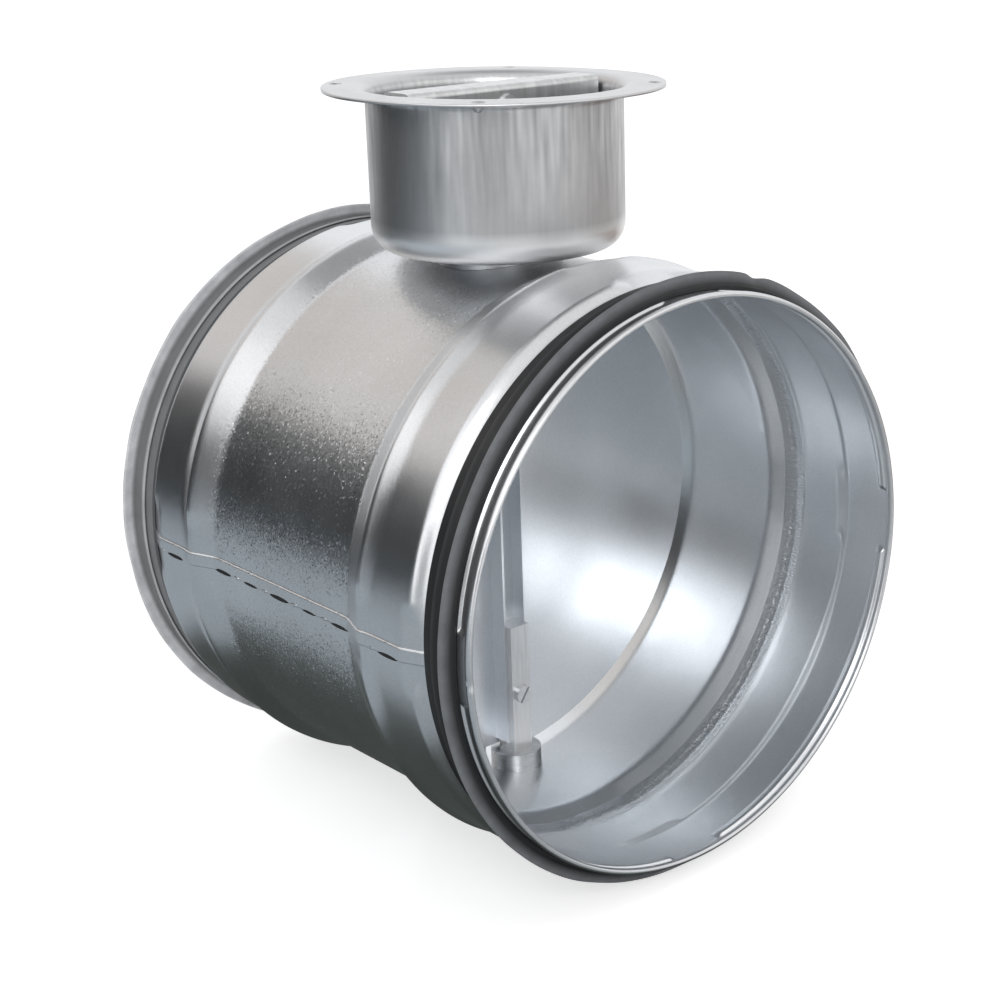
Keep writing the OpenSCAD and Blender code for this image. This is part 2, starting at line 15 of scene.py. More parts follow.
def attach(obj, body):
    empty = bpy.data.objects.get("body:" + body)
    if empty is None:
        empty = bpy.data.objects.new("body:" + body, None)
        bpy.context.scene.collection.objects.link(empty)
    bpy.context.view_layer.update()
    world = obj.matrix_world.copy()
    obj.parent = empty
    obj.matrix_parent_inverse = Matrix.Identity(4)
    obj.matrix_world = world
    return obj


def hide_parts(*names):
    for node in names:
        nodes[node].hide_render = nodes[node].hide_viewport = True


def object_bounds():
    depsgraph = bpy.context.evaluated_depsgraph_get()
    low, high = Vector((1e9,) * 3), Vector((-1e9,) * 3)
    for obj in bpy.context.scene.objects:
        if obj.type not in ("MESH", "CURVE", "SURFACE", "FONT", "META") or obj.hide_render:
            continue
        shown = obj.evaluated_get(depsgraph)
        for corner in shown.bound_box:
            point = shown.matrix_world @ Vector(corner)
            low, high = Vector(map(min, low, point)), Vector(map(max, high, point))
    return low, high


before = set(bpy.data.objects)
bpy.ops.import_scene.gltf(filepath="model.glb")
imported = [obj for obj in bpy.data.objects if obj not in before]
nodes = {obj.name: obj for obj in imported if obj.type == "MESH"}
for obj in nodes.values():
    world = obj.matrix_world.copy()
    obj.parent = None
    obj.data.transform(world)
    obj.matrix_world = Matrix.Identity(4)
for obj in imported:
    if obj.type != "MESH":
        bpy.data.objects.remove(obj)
cad_box = [list(corner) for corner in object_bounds()]
print("nodes:", len(nodes), "box:", cad_box)

# %% [markdown]
# ## The camera
#
# The photograph is a crop from a wider picture, so the middle of the lens isn't the middle of
# the crop. The place, tilt and focal length come from a fit to points on the rims and the cup,
# and a small sideways shift of the lens accounts for the crop.

# %% Place the camera
MM = 0.001
CAMERA_TURN, CAMERA_LIFT, CAMERA_ROLL = (math.radians(angle) for angle in (-43.60, 18.40, -0.48))
CAMERA_AIM = Vector((38.06, -18.57, 2.98)) * MM
CAMERA_DISTANCE = 571.51 * MM
PHOTO_PX, FOCAL_PX, CENTRE_PX = 990.0, 1895.79, (645.04, 494.87)
SENSOR_MM, NEAREST = 36.0, 0.01


def place_camera():
    back = Vector((math.sin(CAMERA_TURN) * math.cos(CAMERA_LIFT),
                   -math.cos(CAMERA_TURN) * math.cos(CAMERA_LIFT), math.sin(CAMERA_LIFT)))
    right = (-back).cross(Vector((0, 0, 1))).normalized()
    up = right.cross(-back)
    tilted_right = right * math.cos(CAMERA_ROLL) + up * math.sin(CAMERA_ROLL)
    tilted_up = up * math.cos(CAMERA_ROLL) - right * math.sin(CAMERA_ROLL)
    data = bpy.data.cameras.new("photo_camera")
    camera = bpy.data.objects.new("photo_camera", data)
    bpy.context.scene.collection.objects.link(camera)
    turn = Matrix((tilted_right, tilted_up, back)).transposed().to_4x4()
    camera.matrix_world = Matrix.Translation(CAMERA_AIM + back * CAMERA_DISTANCE) @ turn
    data.sensor_width = SENSOR_MM
    data.lens = FOCAL_PX / PHOTO_PX * SENSOR_MM
    data.shift_x = (PHOTO_PX / 2 - CENTRE_PX[0]) / PHOTO_PX
    data.shift_y = (CENTRE_PX[1] - PHOTO_PX / 2) / PHOTO_PX
    data.clip_start = NEAREST
    bpy.context.scene.camera = camera
    return camera


camera = place_camera()
print("lens:", round(camera.data.lens, 2), "shift:", round(camera.data.shift_x, 4))

# %% [markdown]
# ## Finishes
#
# Every finish is built from nodes that read Object coordinates, so it stays on the part when
# the part moves. Small helpers wire one node to the next and keep the recipes short.

# %% A short way to write node recipes


def new_finish(name, metallic, specular=0.5):
    """A finish, with a function that adds nodes to it and one that feeds its shader."""
    finish = bpy.data.materials.new(name)
    finish.use_nodes = True
    tree = finish.node_tree
    shader = tree.nodes["Principled BSDF"]
    shader.inputs["Metallic"].default_value = metallic
    shader.inputs["Specular IOR Level"].default_value = specular

    def add(kind, inputs=None, **settings):
        node = tree.nodes.new(kind)
        for key, value in settings.items():
            setattr(node, key, value)
        for key, value in (inputs or {}).items():
            if hasattr(value, "is_output"):
                tree.links.new(value, node.inputs[key])
            else:
                node.inputs[key].default_value = value
        return node

    def wire(output, socket):
        tree.links.new(output, shader.inputs[socket])

    return finish, add, wire


def on_part(add):
    """Object coordinates, which stay on the part when it moves."""
    return add("ShaderNodeTexCoord").outputs["Object"]


def stretched(add, scale):
    """Object coordinates, stretched so that a pattern runs the way the sheet was worked."""
    return add("ShaderNodeMapping", {"Vector": on_part(add), "Scale": scale}).outputs["Vector"]


def noise(add, place, scale, detail=2.0, rough=0.5):
    return add("ShaderNodeTexNoise", {"Vector": place, "Scale": scale, "Detail": detail,
                                      "Roughness": rough}).outputs["Fac"]


def ramp(add, value, low, high, out_low, out_high):
    return add("ShaderNodeMapRange", {"Value": value, "From Min": low, "From Max": high,
                                      "To Min": out_low, "To Max": out_high}).outputs["Result"]


def ramp_mm(add, place, low, high, out_low, out_high):
    """A ramp along the part, from one place in millimetres to another."""
    return ramp(add, place, low * MM, high * MM, out_low, out_high)


def shade_between(add, amount, first, second):
    """A colour between two others, each given as three numbers or as another node's output."""
    first, second = (colour if hasattr(colour, "is_output") else (*colour, 1)
                     for colour in (first, second))
    return add("ShaderNodeMix", {0: amount, 6: first, 7: second}, data_type="RGBA").outputs[2]


def math_node(add, kind, *values):
    return add("ShaderNodeMath", dict(enumerate(values)), operation=kind).outputs[0]


def vector_math(add, kind, inputs, output="Vector"):
    return add("ShaderNodeVectorMath", inputs, operation=kind).outputs[output]


def apart(add, place):
    """The three coordinates of a place."""
    return add("ShaderNodeSeparateXYZ", {0: place}).outputs


def together(add, parts):
    """A place from some of its coordinates; the others are zero."""
    return add("ShaderNodeCombineXYZ", parts).outputs[0]


def bumps(add, height, strength, distance, under=None):
    inputs = {"Height": height, "Strength": strength, "Distance": distance}
    if under is not None:
        inputs["Normal"] = under
    return add("ShaderNodeBump", inputs).outputs["Normal"]


print("finish helpers ready")

# %% [markdown]
# ### Zinc-coated sheet
#
# Skin-passed galvanised sheet is a bright metal with a fine grain, faint cloudy patches where
# the zinc froze, and rolling lines round the duct. Between the beads the dark reflections look
# sandy, because each fleck of zinc leans its own way and the few that lean furthest sparkle.
# Towards the ends the rolls have pressed the flecks flat. The clouds go into colour and roughness.

# %% Make the sheet finishes
# How fine each pattern is, as waves or cells in a metre, and how high it stands, in metres.
CLOUDS, WEAR, LINES, GRAIN, SPECKS, FLECKS = 22, 75, 420, 1300, 1500, 2500
GRAIN_HEIGHT, LINE_HEIGHT, RIB_HEIGHT = 0.0003, 0.00008, 0.0005
# Places along the duct, in millimetres from its middle.
FLECKS_FADE, RIBS_START, RIBS_END = (31, 36), (36.5, 38.5), (44.2, 43.0)
# How far a fleck leans before it shows at all, and the furthest that it can lean.
FLAT, STEEPEST = 0.38, 0.85


def zinc_sheet(name, dark, light, rough, grain, lines=None, ribs=False):
    finish, add, wire = new_finish(name, 1.0)
    place = on_part(add)
    clouds = ramp(add, noise(add, place, CLOUDS, 3, 0.55), 0.3, 0.7, 0, 0.65)
    specks = ramp(add, noise(add, place, SPECKS, 2, 0.6), 0.35, 0.65, 0, 0.35)
    wire(shade_between(add, math_node(add, "ADD", clouds, specks), dark, light), "Base Color")
    wire(ramp(add, noise(add, place, WEAR, 3, 0.6), 0.3, 0.7, rough, rough + 0.04), "Roughness")
    normal = bumps(add, noise(add, place, GRAIN, 2, 0.6), 0.18 * grain, GRAIN_HEIGHT)
    if lines:
        rolled = noise(add, stretched(add, lines), LINES, 2, 0.6)
        normal = bumps(add, rolled, 0.3, LINE_HEIGHT, normal)
    if ribs:
        normal = step_ribs(add, place, normal)
    wire(flecks(add, place, grain, normal), "Normal")
    return finish


def flecks(add, place, tilt, under):
    """Leans each fleck of zinc its own way, but only between the beads."""
    side = math_node(add, "ABSOLUTE", apart(add, place)[1])
    tilt = ramp_mm(add, side, *FLECKS_FADE, tilt, 0)
    cell = add("ShaderNodeTexVoronoi", {"Vector": place, "Scale": FLECKS}).outputs["Color"]
    lean = vector_math(add, "SUBTRACT", {0: cell, 1: (0.5, 0.5, 0.5)})
    steep = vector_math(add, "LENGTH", {0: lean}, "Value")
    size = math_node(add, "MULTIPLY", ramp(add, steep, FLAT, STEEPEST, 0, 1), tilt)
    lean = vector_math(add, "SCALE", {0: lean, "Scale": size})
    return vector_math(add, "NORMALIZE", {0: vector_math(add, "ADD", {0: under, 1: lean})})


def step_ribs(add, place, normal):
    """Fine ribs across the step up to each stop band, where the rolls gripped the sheet."""
    across, along, height = apart(add, place)
    turn = math_node(add, "ARCTAN2", height, across)
    side = math_node(add, "ABSOLUTE", along)
    inside = math_node(add, "MULTIPLY", ramp_mm(add, side, *RIBS_START, 0, 1),
                       ramp_mm(add, side, *RIBS_END, 0, 1))
    where = together(add, {0: math_node(add, "MULTIPLY", turn, 60.0),
                           1: math_node(add, "MULTIPLY", along, 150.0)})
    ribs = math_node(add, "MULTIPLY", noise(add, where, 2.6, 2, 0.6), inside)
    return bumps(add, ribs, 0.9, RIB_HEIGHT, normal)


SHEET_ROUGHNESS = 0.28
casing_finish = zinc_sheet("casing_zinc", (0.58, 0.59, 0.60), (0.72, 0.73, 0.75),
                           SHEET_ROUGHNESS, 0.36, (0.5, 3.0, 0.5))
# Painted light: the bore is the same sheet as the outside, coloured lighter so the inside of the
# duct reads brighter.
lightened_bore_finish = zinc_sheet("lightened_bore_zinc", (0.68, 0.70, 0.72), (0.80, 0.82, 0.84),
                         SHEET_ROUGHNESS, 0.05, (0.15, 3.0, 0.15), True)
blade_finish = zinc_sheet("blade_zinc", (0.58, 0.61, 0.64), (0.70, 0.72, 0.75),
                          SHEET_ROUGHNESS, 0.06)
print("sheet finishes:", casing_finish.name, lightened_bore_finish.name, blade_finish.name)

# %% [markdown]
# ### The cup's sheet
#
# Deep drawing stretches the zinc, so the cup's wall is duller than the casing. The lower corner
# carries a painted highlight, and the inside and the flange are coloured lighter. The die leaves
# upright
# streaks that start under the flange and fade out towards the floor, so the streaks are a noise
# that is long in height and short round the cup, faded by height.

# %% Make the cup's finish
CUP_R, CUP_SHEET, FLOOR_Z = 35.6, 0.8, 82.2
FLANGE_Z = round(cad_box[1][2] / MM, 2)
CUP_CLOUDS, CUP_GRAIN_HEIGHT, INSIDE_LIGHTENING = 45, 0.00008, 0.36


def drawn_sheet():
    finish, add, wire = new_finish("drawn_zinc", 1.0)
    place = on_part(add)
    across, along, height = apart(add, place)
    turn = math_node(add, "ARCTAN2", along, across)
    where = together(add, {0: math_node(add, "MULTIPLY", turn, 11.0),
                           2: math_node(add, "MULTIPLY", height, 26.0)})
    streaks = math_node(add, "SUBTRACT", noise(add, where, 1.6, 1.2, 0.5), 0.5)
    fade = math_node(add, "MULTIPLY", ramp_mm(add, height, FLOOR_Z + 6, FLANGE_Z - 6, 0.15, 1.0),
                     ramp_mm(add, height, FLANGE_Z - 3, FLANGE_Z - 1.2, 1.0, 0.1))
    marks = math_node(add, "MULTIPLY", math_node(add, "MULTIPLY", streaks, fade), 1.2)
    clouds = math_node(add, "MULTIPLY", noise(add, place, CUP_CLOUDS, 4, 0.6), 0.5)
    both = math_node(add, "ADD", marks, clouds)
    dull = shade_between(add, ramp(add, both, 0.0, 0.5, 0, 1), (0.36, 0.364, 0.372),
                         (0.58, 0.584, 0.592))
    # Painted highlight: the lower corner is mixed towards near-white; the flange and inside are
    # lighter.
    wire(shade_between(add, cup_highlight_and_lightening(add, place), dull, (0.86, 0.865, 0.87)), "Base Color")
    wire(ramp(add, both, 0.0, 0.5, 0.46, 0.36), "Roughness")
    wire(bumps(add, noise(add, place, SPECKS, 2, 0.5), 0.25, CUP_GRAIN_HEIGHT), "Normal")
    return finish


def cup_highlight_and_lightening(add, place):
    """A painted highlight at the cup's lower corner, and a lighter colour on its flange and inside.
    """
    across, along, height = apart(add, place)
    from_shaft = vector_math(add, "LENGTH", {0: together(add, {0: across, 1: along})}, "Value")
    corner = ramp_mm(add, height, FLOOR_Z + 5.5, FLOOR_Z + 9.5, 1, 0)
    flange = ramp_mm(add, height, FLANGE_Z - 2.2, FLANGE_Z - 1.2, 0, INSIDE_LIGHTENING)
    inside = ramp_mm(add, from_shaft, CUP_R - 0.7, CUP_R - 0.3, INSIDE_LIGHTENING, 0)
    return math_node(add, "MAXIMUM", corner, math_node(add, "MAXIMUM", flange, inside))


cup_finish = drawn_sheet()
print("cup finish:", cup_finish.name)

# %% [markdown]
# ### Rubber, plated steel and the handle bar
#
# The gaskets are black rubber whose lips have gone grey from handling, so their colour follows
# the distance from the duct's axis. On the rear gasket the lip's light colour is dust and a painted
# sheen. Small steel parts are plated, and the bushes are turned steel.

# %% Make the small finishes
DUST, WRINKLES, MARKS, BAR_MARKS = 120, 260, 300, 110
WRINKLE_HEIGHT, MARK_HEIGHT = 0.0004, 0.0001
BAR_HOLLOW_HALF, BAR_TOP_INSIDE = 4.75, FLANGE_Z - 0.75
HOLLOW_ROUGHNESS, BAR_ROUGHNESS = 0.8, 0.34


def axis_distance(add):
    """Distance of a surface point from the duct's axis, in metres."""
    across, _, height = apart(add, on_part(add))
    return vector_math(add, "LENGTH", {0: together(add, {0: across, 2: height})}, "Value")


def lip_rubber(name, valley, lip, low, high):
    """Rubber that turns from one colour to another between two distances from the axis, in mm."""
    finish, add, wire = new_finish(name, 0.0, 0.45)
    place = on_part(add)
    dust = noise(add, place, DUST, 5, 0.65)
    reach = ramp_mm(add, axis_distance(add), low, high, 0.0, 1.0)
    grey = math_node(add, "MULTIPLY", reach, ramp(add, dust, 0.3, 0.7, 0.6, 1.0))
    wire(shade_between(add, grey, valley, lip), "Base Color")
    wire(ramp(add, dust, 0.3, 0.7, 0.42, 0.62), "Roughness")
    wrinkles = noise(add, stretched(add, (0.35, 1.6, 0.35)), WRINKLES, 3, 0.6)
    wire(bumps(add, wrinkles, 0.5, WRINKLE_HEIGHT), "Normal")
    return finish


def plain_metal(name, dark, light, rough, lines):
    finish, add, wire = new_finish(name, 1.0)
    marks = noise(add, stretched(add, lines), MARKS, 3, 0.6)
    wire(shade_between(add, ramp(add, marks, 0.3, 0.7, 0, 1), dark, light), "Base Color")
    wire(ramp(add, marks, 0.3, 0.7, rough, rough + 0.13), "Roughness")
    wire(bumps(add, marks, 0.15, MARK_HEIGHT), "Normal")
    return finish


def hollow_sheet():
    """The handle bar's sheet: bright outside, and near black in its hollow as a painted shade."""
    finish, add, wire = new_finish("bar_sheet", 1.0)
    _, along, height = apart(add, on_part(add))
    narrow = math_node(add, "LESS_THAN", math_node(add, "ABSOLUTE", along), BAR_HOLLOW_HALF * MM)
    low = math_node(add, "LESS_THAN", height, BAR_TOP_INSIDE * MM)
    hollow = math_node(add, "MULTIPLY", narrow, low)
    marks = noise(add, stretched(add, (4, 4, 0.4)), BAR_MARKS, 3, 0.6)
    sheet = shade_between(add, ramp(add, marks, 0.3, 0.7, 0, 1), (0.50, 0.505, 0.51),
                          (0.68, 0.685, 0.69))
    # Painted shade: inside the bar's hollow the colour is near black.
    wire(shade_between(add, hollow, sheet, (0.02, 0.02, 0.021)), "Base Color")
    wire(ramp(add, hollow, 0, 1, BAR_ROUGHNESS, HOLLOW_ROUGHNESS), "Roughness")
    wire(bumps(add, marks, 0.12, MARK_HEIGHT), "Normal")
    return finish


rubber_finish = lip_rubber("gasket_rubber", (0.010, 0.0105, 0.012), (0.20, 0.21, 0.225),
                           81.2, 83.5)
# Dust and painted sheen: the rear lip is coloured near white.
dust_and_sheen_rubber = lip_rubber("dust_and_sheen_rubber", (0.12, 0.125, 0.13), (0.84, 0.85, 0.88), 80.5, 82.0)
bar_sheet = hollow_sheet()
plated_finish = plain_metal("plated_steel", (0.58, 0.59, 0.60), (0.74, 0.75, 0.76), 0.28,
                            (1, 1, 1))
bar_finish = plain_metal("bright_steel", (0.60, 0.60, 0.61), (0.72, 0.73, 0.74), 0.28,
                         (4, 4, 0.3))
rivet_finish = plain_metal("rivet_aluminium", (0.66, 0.66, 0.67), (0.78, 0.78, 0.79), 0.29,
                           (1, 1, 1))
bush_finish = plain_metal("bush_steel", (0.46, 0.47, 0.48), (0.60, 0.61, 0.62), 0.31, (1, 1, 4))
print("small finishes ready")

# %% [markdown]
# ## Dress the parts whose shape is already right
#
# Flat and turned parts keep the shape they came with. They only need a finish in their slots.

# %% Give finishes to the kept parts
KEPT = {
    plated_finish: ["upper_bush_ring", "rivet_spacers", "shaft_screws", "shaft_nuts",
                    "locking_arm", "locking_bolt", "lock_washer", "lock_nut"],
    bar_finish: ["upper_half_shaft", "lower_half_shaft", "handle_post", "post_pin"],
    rivet_finish: ["cup_rivets", "bar_rivets"],
    # cup_saddle takes the darker bush steel as a painted shade under the cup.
    bush_finish: ["upper_bush", "lower_bush", "cup_saddle"],
    rubber_finish: ["shaft_seal"],
    bar_sheet: ["handle_bar"],
    casing_finish: ["quadrant_plate"],
    blade_finish: ["blade_disc", "blade_channel"],
}
for finish, names in KEPT.items():
    for name in names:
        for slot in nodes[name].material_slots:
            slot.material = finish
print("dressed:", sum(len(names) for names in KEPT.values()))

# %% [markdown]
# ## Skins for pressed sheet
#
# A pressed or rolled part is one line of sheet carried round an axis. Its skin is a grid: rows
# follow the line, columns go round, and both close on themselves. Because every grid point is
# worked out, the small waves that rolling leaves can be real shape, and that is what breaks up
# the reflections on thin metal.

# %% A grid skin from rows and columns


def grid_skin(name, points, finish, replaced, body):
    """A closed skin from points[row, column, xyz] in metres, both ways round."""
    rows, columns = points.shape[:2]
    row, column = np.meshgrid(np.arange(rows), np.arange(columns), indexing="ij")
    next_row, next_column = (row + 1) % rows, (column + 1) % columns
    quads = np.stack([row * columns + column, row * columns + next_column,
                      next_row * columns + next_column, next_row * columns + column], -1)
    mesh = bpy.data.meshes.new(name)
    mesh.from_pydata(points.reshape(-1, 3).tolist(), [], quads.reshape(-1, 4).tolist())
    mesh.polygons.foreach_set("use_smooth", [True] * len(mesh.polygons))
    mesh.update()
    return settle(name, mesh, finish, replaced, body)


def settle(name, mesh, finish, replaced, body):
    """Puts a finished mesh in the scene, in its finish, riding on its body."""
    mesh.materials.clear()
    mesh.materials.append(finish)
    face_outwards(mesh)
    piece = bpy.data.objects.new(name, mesh)
    bpy.context.scene.collection.objects.link(piece)
    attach(piece, body)
    if replaced:
        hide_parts(*replaced)
    print(name, "faces:", len(mesh.polygons))
    return piece


def face_outwards(mesh):
    """Turns every face over where the mesh's volume comes out negative."""
    corners = np.empty(len(mesh.vertices) * 3)
    mesh.vertices.foreach_get("co", corners)
    corners = corners.reshape(-1, 3)
    mesh.calc_loop_triangles()
    three = np.empty(len(mesh.loop_triangles) * 3, int)
    mesh.loop_triangles.foreach_get("vertices", three)
    a, b, c = (corners[three.reshape(-1, 3)[:, i]] for i in range(3))
    if np.einsum("ij,ij->i", a, np.cross(b, c)).sum() < 0:
        mesh.flip_normals()


def waves(seed, along, around, size, count=14, fastest=9):
    """A soft random height over two coordinates; around is an angle, so it closes."""
    dice = np.random.default_rng(seed)
    height = np.zeros(np.broadcast(along, around).shape)
    for _ in range(count):
        turns, pitch = dice.integers(1, fastest), dice.uniform(0.02, 0.09)
        phase, other = dice.uniform(0, 2 * np.pi, 2)
        height = height + np.sin(turns * around + phase) * np.sin(along / pitch * 2 * np.pi + other)
    return height * size / math.sqrt(count)


def wrapped(turn):
    return (turn + np.pi) % (2 * np.pi) - np.pi


def smooth_step(value):
    t = np.clip(value, 0, 1)
    return t * t * (3 - 2 * t)


print("skin helpers ready")

# %% [markdown]
# ### The casing
#
# The casing is one strip of sheet, rolled round and closed by a lap seam. Near each end it
# steps up over a small bead to a stop band and falls again to the spigot. The rolls that press
# the groove and the slope are made in segments, so at each quarter turn a short stretch stays
# plain, with a gentle ramp in place of the slope.

# %% The casing's line of sheet
# Outside sizes and places from the middle of the duct, in millimetres.
CASING_R, BAND_R, BEAD_R, SPIGOT_R, SHEET = 79.8, 82.35, 83.5, 79.6, 0.6
STEP_START, BEAD_AT, BAND_START = 30.2, 41.0, 46.8
SLOPE_START, SLOPE_END, RAMP_WIDTH = 59.8, 64.4, 7.0
RIM_END = round(cad_box[1][1] / MM, 2)
GROOVE_AT, GROOVE_WIDTH, GROOVE_DEPTH, GROOVE_WALL, GROOVE_EASE = 77.2, 2.4, 0.8, 0.6, 0.25
PLAIN_TURN, PLAIN_BEAD_DROP, BEND_FADE, GROOVE_FADE = math.radians(14), 0.6, 0.04, 0.014
SEAM_AT, SEAM_WIDTH, SEAM_HEIGHT = math.radians(-179.2), 3.6, 0.45
SEAM_EDGE_WIDTH, SEAM_RUN_OUT, SEAM_FADE = 0.44, 1.5, 0.0035
COLUMNS, ROLLING = 420, 0.03


def eased(y, start, end, low, high):
    share = np.clip((y - start) / (end - start), 0, 1)
    return low + (high - low) * (1 - np.cos(np.pi * share)) / 2


def swelling(y, start, end, low, high, bend=0.2):
    """A straight rise with a short bend at each end, as sheet has that is swaged up."""
    share = np.clip((y - start) / (end - start), 0, 1)
    rise = np.where(share < bend, share ** 2 / (2 * bend), share - bend / 2)
    rise = np.where(share > 1 - bend, 1 - bend - (1 - share) ** 2 / (2 * bend), rise)
    return low + (high - low) * rise / (1 - bend)


def plain_share(turn, fade):
    """1 in the middle of a plain stretch, 0 where the rolls pressed the sheet."""
    off = np.abs((turn + np.pi / 4) % (np.pi / 2) - np.pi / 4)
    return smooth_step((PLAIN_TURN / 2 + fade - off) / (2 * fade))


def casing_radius(y, turn):
    """Outside of the sheet, in millimetres."""
    side = np.abs(y)
    plain = plain_share(turn, BEND_FADE)
    bead = BEAD_R - PLAIN_BEAD_DROP * plain
    radius = swelling(side, STEP_START, BEAD_AT, CASING_R, bead)
    fall = np.clip((BAND_START - side) / (BAND_START - BEAD_AT), 0, 1)
    radius = np.where(side > BEAD_AT, BAND_R + (bead - BAND_R) * fall ** 2, radius)
    sharp = eased(side, SLOPE_START, SLOPE_END, BAND_R, SPIGOT_R)
    gentle = np.clip((side - SLOPE_END + RAMP_WIDTH) / RAMP_WIDTH, 0, 1)
    gentle = np.minimum(BAND_R + (SPIGOT_R - BAND_R) * gentle, sharp)
    radius = np.where(side > BAND_START, sharp + (gentle - sharp) * plain, radius)
    dip = smooth_step((GROOVE_WIDTH / 2 + GROOVE_EASE - np.abs(side - GROOVE_AT)) / GROOVE_WALL)
    return radius - GROOVE_DEPTH * dip * (1 - plain_share(turn, GROOVE_FADE))


def crowded(middle, reach, count):
    """Angles close together, about one where the sheet changes quickly."""
    return set(np.round((middle + np.linspace(-reach, reach, count)) % (2 * np.pi), 5))


def casing_columns():
    """Angles round the duct, closer together at the seam and at the ends of the grooves."""
    turns = set(np.round(np.linspace(0, 2 * np.pi, COLUMNS, endpoint=False), 5))
    for edge in (-1, 1):
        for quarter in range(4):
            middle = quarter * np.pi / 2 + edge * PLAIN_TURN / 2
            turns |= crowded(middle, BEND_FADE, 9) | crowded(middle, GROOVE_FADE, 5)
        turns |= crowded(SEAM_AT + edge * SEAM_WIDTH / 2 / CASING_R, SEAM_FADE, 7)
    return np.array(sorted(turns))


def casing_rows():
    """Places along the duct, close together where the sheet bends."""
    stations = [0, 4, 8, 12, 16, 20, 24, 27, 29]
    stations += list(np.linspace(STEP_START, BEAD_AT, 15))
    stations += list(np.linspace(BEAD_AT, BAND_START, 10))[1:]
    stations += [50, 52, 54, 56, 57.2, 58.2, 59.2]
    stations += list(np.linspace(SLOPE_START, SLOPE_END, 10))
    stations += [65.2, 68, 72, 75, 75.7, 75.95, 76.2, 76.5, 77.2]
    stations += [77.9, 78.2, 78.45, 78.7, 79.2, RIM_END - 1]
    return np.array(sorted([-s for s in stations if s > 0] + stations))


def casing_points():
    turn, y = casing_columns()[None, :], casing_rows()[:, None]
    short = waves(7, y * MM, turn, ROLLING)
    long = waves(8, y * MM * 0.35, turn, ROLLING, 10, 5)
    outside = casing_radius(y, turn) + (short + long)
    inside = outside - SHEET
    off = np.abs(wrapped(turn - SEAM_AT)) * CASING_R
    seam = smooth_step((SEAM_WIDTH / 2 + SEAM_EDGE_WIDTH / 2 - off) / SEAM_EDGE_WIDTH)
    seam_end = smooth_step((SLOPE_END + SEAM_RUN_OUT - np.abs(y)) / SEAM_RUN_OUT)
    outside = outside + SEAM_HEIGHT * seam * seam_end
    loop_radius = np.concatenate([outside, inside[::-1]])
    loop_y = np.concatenate([y, y[::-1]]) + 0 * turn
    return np.stack([loop_radius * np.cos(turn), loop_y, loop_radius * np.sin(turn)], -1) * MM


def line_bore(skin, points, finish):
    """Gives the inner half of a skin's rows a finish of its own."""
    rows, columns = points.shape[:2]
    skin.data.materials.append(finish)
    row = np.repeat(np.arange(rows), columns)
    inner = (row >= rows // 2) & (row < rows - 1)
    skin.data.polygons.foreach_set("material_index", inner.astype(np.int32))


casing_grid = casing_points()
casing_skin = grid_skin("casing_skin", casing_grid, casing_finish, ["casing_tube"], "casing")
line_bore(casing_skin, casing_grid, lightened_bore_finish)

# %% [markdown]
# ### Rims
#
# Each spigot ends in a rim where the sheet is folded back on itself. It is the same rounded
# section all the way round, so Geometry Nodes carries a small curve along a circle. The tree
# has named inputs for its sizes, and ends in Realize Instances and Set Material.

# %% A tree that carries a rounded section round the duct
RIM_R, RIM_THICKNESS, RIM_WIDTH, RIM_AT = 79.05, 1.7, 2.2, 79.9
CREASE_AT, CREASE_R, CREASE_DEPTH, CREASE_WIDTH = math.radians(-178), 79.0, 0.5, 0.7


def rim_tree(finish):
    tree = bpy.data.node_groups.new("folded_rim", "GeometryNodeTree")
    face = tree.interface
    for name, size in (("Radius", RIM_R), ("Thickness", RIM_THICKNESS), ("Width", RIM_WIDTH),
                       ("Place", RIM_AT)):
        socket = face.new_socket(name, in_out="INPUT", socket_type="NodeSocketFloat")
        socket.default_value = size * MM
    face.new_socket("Geometry", in_out="OUTPUT", socket_type="NodeSocketGeometry")
    node = tree.nodes.new
    given = node("NodeGroupInput")
    path = node("GeometryNodeCurvePrimitiveCircle")
    path.inputs["Resolution"].default_value = 360
    section = node("GeometryNodeCurvePrimitiveCircle")
    section.inputs["Resolution"].default_value = 14
    section.inputs["Radius"].default_value = 0.5
    shape = node("GeometryNodeTransform")
    size = node("ShaderNodeCombineXYZ")
    sweep = node("GeometryNodeCurveToMesh")
    lay = node("GeometryNodeTransform")
    lay.inputs["Rotation"].default_value = (math.pi / 2, 0, 0)
    shift = node("ShaderNodeCombineXYZ")
    real = node("GeometryNodeRealizeInstances")
    dress = node("GeometryNodeSetMaterial")
    dress.inputs["Material"].default_value = finish
    result = node("NodeGroupOutput")
    link = tree.links.new
    link(given.outputs["Radius"], path.inputs["Radius"])
    link(given.outputs["Thickness"], size.inputs[0])
    link(given.outputs["Width"], size.inputs[1])
    size.inputs[2].default_value = 1
    link(section.outputs["Curve"], shape.inputs["Geometry"])
    link(size.outputs[0], shape.inputs["Scale"])
    link(path.outputs["Curve"], sweep.inputs["Curve"])
    link(shape.outputs["Geometry"], sweep.inputs["Profile Curve"])
    link(sweep.outputs["Mesh"], lay.inputs["Geometry"])
    link(given.outputs["Place"], shift.inputs[1])
    link(shift.outputs[0], lay.inputs["Translation"])
    link(lay.outputs["Geometry"], real.inputs["Geometry"])
    link(real.outputs["Geometry"], dress.inputs["Geometry"])
    link(dress.outputs["Geometry"], result.inputs["Geometry"])
    return tree


